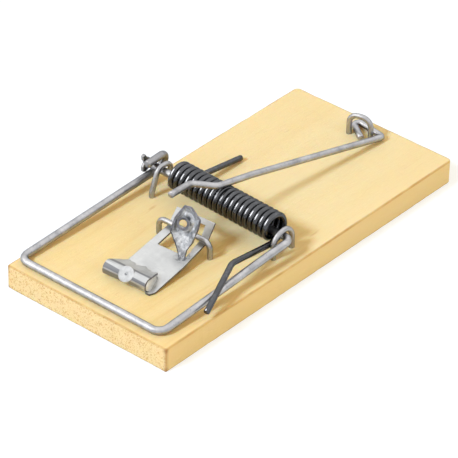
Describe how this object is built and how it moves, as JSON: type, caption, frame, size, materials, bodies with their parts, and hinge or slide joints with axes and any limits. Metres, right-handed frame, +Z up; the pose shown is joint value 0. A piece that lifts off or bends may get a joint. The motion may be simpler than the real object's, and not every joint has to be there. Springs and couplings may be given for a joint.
{
  "type": "snap mouse trap",
  "caption": "Snap mouse trap: flat wooden base, sprung wire hammer, long wire latch bar and a pivoting sheet-metal bait pedal, held by wire staples.",
  "frame": {"origin": "centre of the underside of the wooden base", "axes": "+X along the base from the bait end to the latch end, +Y to the trap's left, +Z up"},
  "size_m": [0.098, 0.046, 0.0196],
  "materials": {
    "pine": "raw sawn softwood",
    "zinc_wire": "bright zinc-plated wire",
    "spring_wire": "dark oil-tempered wire",
    "zinc_sheet": "bright galvanised sheet"
  },
  "bodies": {
    "base_body": {"base": "pine", "left_axle_staple": "zinc_wire", "right_axle_staple": "zinc_wire", "pedal_staple": "zinc_wire", "latch_staple": "zinc_wire", "spring": "spring_wire"},
    "hammer_body": {"hammer": "zinc_wire"},
    "latch_body": {"latch_bar": "zinc_wire"},
    "pedal_body": {"pedal": "zinc_sheet"}
  },
  "joints": [
    {"name": "hammer_hinge", "type": "hinge", "parent": "base_body", "child": "hammer_body", "pos_m": [-0.00473, 0, 0.01063], "axis": [0.0235, 0.9996, 0.0164], "range_deg": [0, 176], "stiffness_Nm_per_rad": 0.1, "springref_deg": -60.16, "deforming": ["spring"]},
    {"name": "latch_hinge", "type": "hinge", "parent": "base_body", "child": "latch_body", "pos_m": [0.0453, -0.0032, 0.00683], "axis": [0.107, 0.9943, 0], "range_deg": [0, 24]},
    {"name": "pedal_hinge", "type": "hinge", "parent": "base_body", "child": "pedal_body", "pos_m": [-0.01775, -0.0011, 0.0102], "axis": [-0.0698, 0.9976, 0], "range_deg": [0, 25]}
  ]
}
